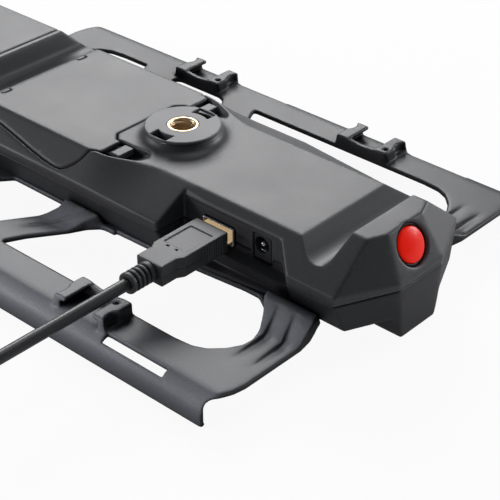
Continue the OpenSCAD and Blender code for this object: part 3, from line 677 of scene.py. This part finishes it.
def threaded_insert():
    """flanged bush with an internal thread"""
    box = [np.array(corner) * 1000 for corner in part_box("threaded_insert")]
    field = Field(0.11, box=box, band=1.2)
    z = field.z
    out = np.sqrt(field.x ** 2 + field.y ** 2)
    turn = np.arctan2(field.y, field.x) / (2 * math.pi)
    outer = np.minimum(np.maximum(out - 5.2, z + 0.5),
                       np.maximum(out - 5.85, np.abs(z + 0.8) - 0.8))
    wave = np.abs((((z / THREAD_PITCH - turn) % 1.0) - 0.5) * 2)
    bore = CREST_RADIUS + THREAD_DEPTH * np.clip((wave - 0.12) / 0.76, 0, 1)
    # countersunk mouth
    bore = np.maximum(bore, 4.95 + z * 0.75)
    field.dist = meet(outer, -9.0 - z, (bore - out) * 0.72).astype(np.float32)
    skin(field.blur(1), "threaded_insert", adapt=0.01)


soft_copy("mount_disc", voxel=0.16, passes=1)
threaded_insert()
for node in ("door_latch_near", "door_latch_far"):
    soft_copy(node, voxel=0.16, passes=2)
soft_copy("badge", voxel=0.16, passes=2, name="badge_dome")
soft_copy("badge_bezel", voxel=0.2, passes=2, name="badge_ring")


# ---------------------------------------------------------------- ports, plug and cable
GRIP_HALF, GRIP_RISE = 7.4, 4.0
# +x half of the grip's outline seen along z: x from the USB axis, y
GRIP_OUTLINE = [(GRIP_HALF, -31.4), (GRIP_HALF, -51), (5.9, -53.6), (5.9, -60.6)]


def usb_receptacle():
    field = Field(0.14, "usb_receptacle", pad=1.0).blur(1)
    # mouth flared out to the flange
    field.add(usb_block(field, 7.2, PORT_Y - 0.7, PORT_Y + 0.4, 3.5, 0.3), 0.1)
    throat_y = PORT_Y + 1.6
    lead = np.clip((throat_y - field.y) / 1.6, 0.0, 1.45)
    mouth = smooth_max(np.abs(field.x - USB_X) - 6.25 - 0.45 * lead,
                       np.abs(field.z - USB_Z) - 2.5 - 0.5 * lead, 0.1)
    field.cut(smooth_max(mouth, field.y - throat_y, 0.1), 0.05)
    skin(field, "usb_receptacle")


def usb_plug_grip():
    field = Field(0.16, "usb_plug_grip", pad=2.4)
    # the moulding laps a little over the metal shell
    field.add(usb_block(field, GRIP_HALF, -32.5, -29.6, GRIP_RISE, 0.1), 0.05)
    field.cut(usb_block(field, 6.1, -32.5, -29.0, 2.35, 0.05), 0.05)
    field.blur(2)
    # shallow panel and two notches in the top
    top = USB_Z + GRIP_RISE
    field.cut(block(field, (USB_X - 5.2, -48.1, top - 0.34), (USB_X + 5.2, -35.0, top + 2), 0.2),
              0.15)
    for sign in (-1, 1):
        x = USB_X + 2.1 * sign
        field.cut(block(field, (x - 0.5, -49.8, top - 0.7), (x + 0.5, -49.1, top + 2), 0.15))
    # grooves across both flanks, at the end next to the port
    for i in range(7):
        for sign in (-1, 1):
            x = USB_X + GRIP_HALF * sign
            field.cut(block(field, (x - 0.45, -32.9 - 1.15 * i, USB_Z - 3.2),
                            (x + 0.45, -32.35 - 1.15 * i, USB_Z + 3.3), 0.1))
    # parting line round the sides
    outline = [(USB_X + x, y) for x, y in GRIP_OUTLINE]
    outline += [(USB_X - x, y) for x, y in reversed(GRIP_OUTLINE)]
    side = polygon(field.x[:, :, 0], field.y[:, :, 0], outline)[:, :, None]
    field.cut(np.maximum(-0.22 - side, np.abs(field.z - USB_Z) - 0.17), 0.1)
    skin(field.blur(1), "usb_plug_grip", adapt=0.02)


usb_receptacle()
soft_copy("power_jack", voxel=0.16, passes=2)
usb_plug_grip()
soft_copy("strain_relief", voxel=0.16, passes=2, adapt=0.02)
soft_copy("usb_plug_shell", voxel=0.14, passes=1)


# ---------------------------------------------------------------- what stays as CAD
for node, ob in NODES.items():
    if ob.hide_render:
        continue
    dress(ob, node)
    weld = ob.modifiers.new("weld", "WELD")
    weld.merge_threshold = 1e-6
    flat = ob.modifiers.new("flat", "DECIMATE")
    flat.decimate_type = "DISSOLVE"
    flat.angle_limit = math.radians(0.8)
    bevel = ob.modifiers.new("edges", "BEVEL")
    bevel.width = 0.00018
    bevel.segments = 2
    bevel.limit_method = "ANGLE"
    bevel.angle_limit = math.radians(38)
    bevel.use_clamp_overlap = True
    ob.modifiers.new("normals", "WEIGHTED_NORMAL")
    smooth(ob.data)


# ---------------------------------------------------------------- floor
def make_floor(half=3, cells=24):
    """white grid just under the product, in metres"""
    z = CAD_BOX[0].z - 0.0002
    steps = [-half + 2 * half * i / cells for i in range(cells + 1)]
    corners = [i * (cells + 1) + j for i in range(cells) for j in range(cells)]
    mesh = bpy.data.meshes.new("floor")
    mesh.from_pydata([(x, y, z) for x in steps for y in steps], [],
                     [(a, a + cells + 1, a + cells + 2, a + 1) for a in corners])
    floor = bpy.data.objects.new("floor", mesh)
    scene.collection.objects.link(floor)
    tree = Tree("floor_white")
    cloud = tree.noise(3.0, detail=3.0)
    tree.surface("Base Color", tree.mix(cloud, (0.62, 0.62, 0.62, 1), (0.66, 0.66, 0.66, 1)))
    tree.surface("Roughness", 0.9)
    tree.surface("Specular IOR Level", 0.1)
    tree.surface("Emission Color", (1, 1, 1, 1))
    tree.surface("Emission Strength", 0.14)
    # the camera sees mostly an even white glow
    glow = tree.new("Emission")
    glow.inputs["Strength"].default_value = 1.02
    camera_ray = tree.new("LightPath").outputs["Is Camera Ray"]
    share = tree.math("MULTIPLY", camera_ray, 0.90)
    blend = tree.new("MixShader")
    for socket, value in zip(blend.inputs, (share, tree.bsdf.outputs[0], glow.outputs[0])):
        tree.put(socket, value)
    tree.put(tree.out.inputs[0], blend.outputs[0])
    mesh.materials.append(tree.material)


make_floor()


# ---------------------------------------------------------------- lights
def area(name, place, aim, width, height, power):
    light = bpy.data.lights.new(name, "AREA")
    light.shape = "RECTANGLE"
    light.size, light.size_y, light.energy = width, height, power
    ob = bpy.data.objects.new(name, light)
    ob.location = place
    ob.rotation_mode = "QUATERNION"
    ob.rotation_quaternion = (Vector(place) - Vector(aim)).to_track_quat("Z", "Y")
    scene.collection.objects.link(ob)
    return ob


# name, place, aim, width, height, power in watts
for row in (
        ("back_window", (-0.86, 0.80, 0.78), (0.0, 0.0, -0.02), 0.85, 0.65, 14.0),
        ("top_fill", (0.1, 0.35, 1.25), (0.0, 0.0, -0.02), 0.6, 0.6, 2.5),
        ("back_right", (0.60, 1.25, 0.35), (0.05, 0.0, -0.02), 0.6, 0.4, 9.0),
        ("left_front", (-1.05, -0.80, 0.30), (0.03, -0.05, -0.02), 0.5, 0.3, 5.0)):
    area(*row)

# strips that light the cradle alone: name, place, width, height, power, seen in reflections
only = bpy.data.collections.new("lip_glow")
only.objects.link(cradle)
for name, place, width, height, power, glossy in (
        ("low_strip", (-0.66, -1.0, 0.42), 0.9, 0.30, 26.0, False),
        ("face_strip", (-0.35, -1.25, 0.0), 1.1, 0.09, 26.0, False),
        ("glint", (-0.66, -1.0, 0.42), 0.9, 0.30, 7.0, True)):
    strip = area(name, place, (0.02, -0.08, -0.03), width, height, power)
    strip.light_linking.receiver_collection = only
    strip.visible_glossy = glossy


# ---------------------------------------------------------------- world and camera
def make_world():
    """dim cool light on the product, plain white to the camera"""
    world = bpy.data.worlds.new("studio")
    scene.world = world
    world.use_nodes = True
    nodes, links = world.node_tree.nodes, world.node_tree.links
    nodes.clear()
    out = nodes.new("ShaderNodeOutputWorld")
    mix = nodes.new("ShaderNodeMixShader")
    path = nodes.new("ShaderNodeLightPath")
    links.new(path.outputs["Is Camera Ray"], mix.inputs[0])
    for index, colour, strength in ((1, (0.9, 0.93, 1.0, 1), 0.08), (2, (1, 1, 1, 1), 1.0)):
        background = nodes.new("ShaderNodeBackground")
        background.inputs["Color"].default_value = colour
        background.inputs["Strength"].default_value = strength
        links.new(background.outputs[0], mix.inputs[index])
    links.new(mix.outputs[0], out.inputs[0])


make_world()
camera = bpy.data.objects.new("camera", bpy.data.cameras.new("camera"))
scene.collection.objects.link(camera)
camera.data.sensor_width = 36.0
camera.data.lens = 109.684
camera.matrix_world = Matrix((
    (0.741244, -0.364983, 0.563334, 0.353136),
    (0.671236, 0.402905, -0.622181, -0.353023),
    (0.000115, 0.839318, 0.54364, 0.267411),
    (0, 0, 0, 1)))
scene.camera = camera
scene.view_settings.view_transform = "Standard"
scene.view_settings.look = "None"
scene.view_settings.exposure = 0.0
